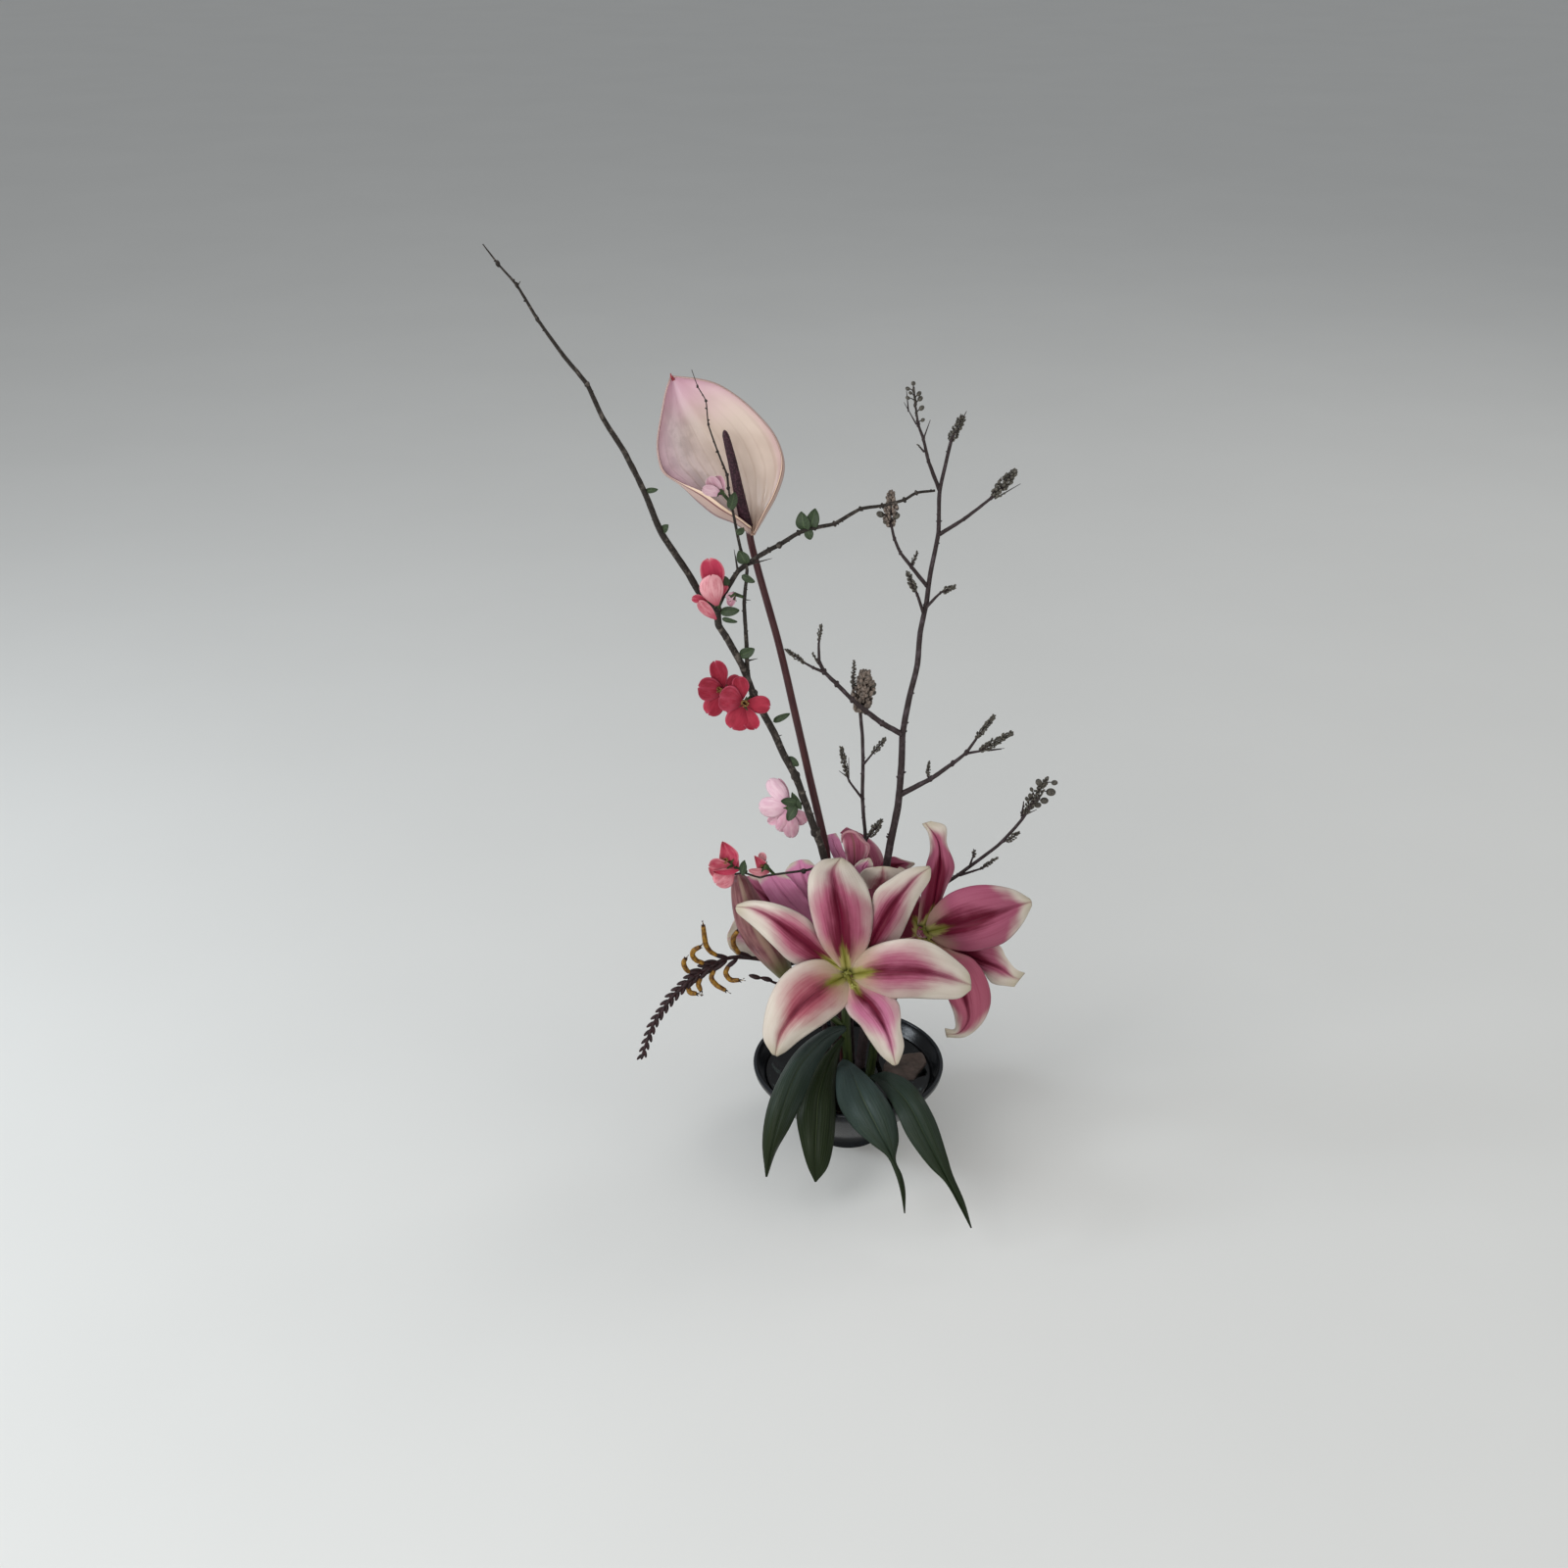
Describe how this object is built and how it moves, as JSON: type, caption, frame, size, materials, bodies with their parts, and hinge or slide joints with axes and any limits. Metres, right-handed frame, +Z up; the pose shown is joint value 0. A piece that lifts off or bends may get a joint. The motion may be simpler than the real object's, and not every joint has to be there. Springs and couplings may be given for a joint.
{
  "type": "ikebana arrangement",
  "caption": "Tall asymmetric ikebana arrangement: flowering quince, an anthurium, budded twigs, pink lilies and an arching spike in a dark footed bowl.",
  "frame": {"origin": "centre of the flat underside of the bowl's foot, on the surface that the bowl stands on", "axes": "+Z up along the bowl's axis, the viewer on the -Y side, +X to the viewer's right"},
  "size_m": [0.3988, 0.2354, 0.7012],
  "materials": {
    "bowl_glaze": "gloss black glaze",
    "water": "clear",
    "kenzan_metal": "dull",
    "stone": "rough",
    "quince_wood": "rough bark",
    "quince_leaf": "satin",
    "quince_red": "soft petal",
    "quince_coral": "soft petal",
    "quince_pink": "soft petal",
    "anthurium_stem": "satin",
    "anthurium_spathe": "waxy",
    "anthurium_spadix": "matte",
    "budded_wood": "bark and round buds",
    "lily_stem": "satin",
    "lily_leaf": "satin",
    "lily_petal": "soft petal",
    "lily_pistil": "satin",
    "lily_bud": "satin",
    "spike": "satin bracts with ochre tubes"
  },
  "bodies": {
    "root": {"bowl": "bowl_glaze", "kenzan": "kenzan_metal", "stone": "stone", "water": "water", "quince_branch": "quince_wood", "quince_bloom_coral_high": "quince_coral", "quince_bloom_red_front": "quince_red", "quince_bloom_red_back": "quince_red", "quince_bloom_pink_low": "quince_pink", "quince_bloom_coral_left": "quince_coral", "quince_bud_coral": "quince_coral", "quince_bud_pink_high": "quince_pink", "quince_bud_pink_small": "quince_pink", "anthurium_stem": "anthurium_stem", "anthurium_spadix": "anthurium_spadix", "anthurium_spathe": "anthurium_spathe", "budded_branch": "budded_wood", "budded_twig_centre": "budded_wood", "budded_twig_right": "budded_wood", "lily_stem_a": "lily_stem", "lily_stem_b": "lily_stem", "lily_leaf_1": "lily_leaf", "lily_leaf_2": "lily_leaf", "lily_leaf_3": "lily_leaf", "lily_leaf_4": "lily_leaf", "lily_bloom_front": "lily_petal", "lily_bloom_right": "lily_petal", "lily_bloom_top": "lily_petal", "lily_bloom_left": "lily_petal", "lily_pistil_front": "lily_pistil", "lily_pistil_right": "lily_pistil", "lily_bud": "lily_bud", "montbretia_spike": "spike"}
  },
  "joints": []
}
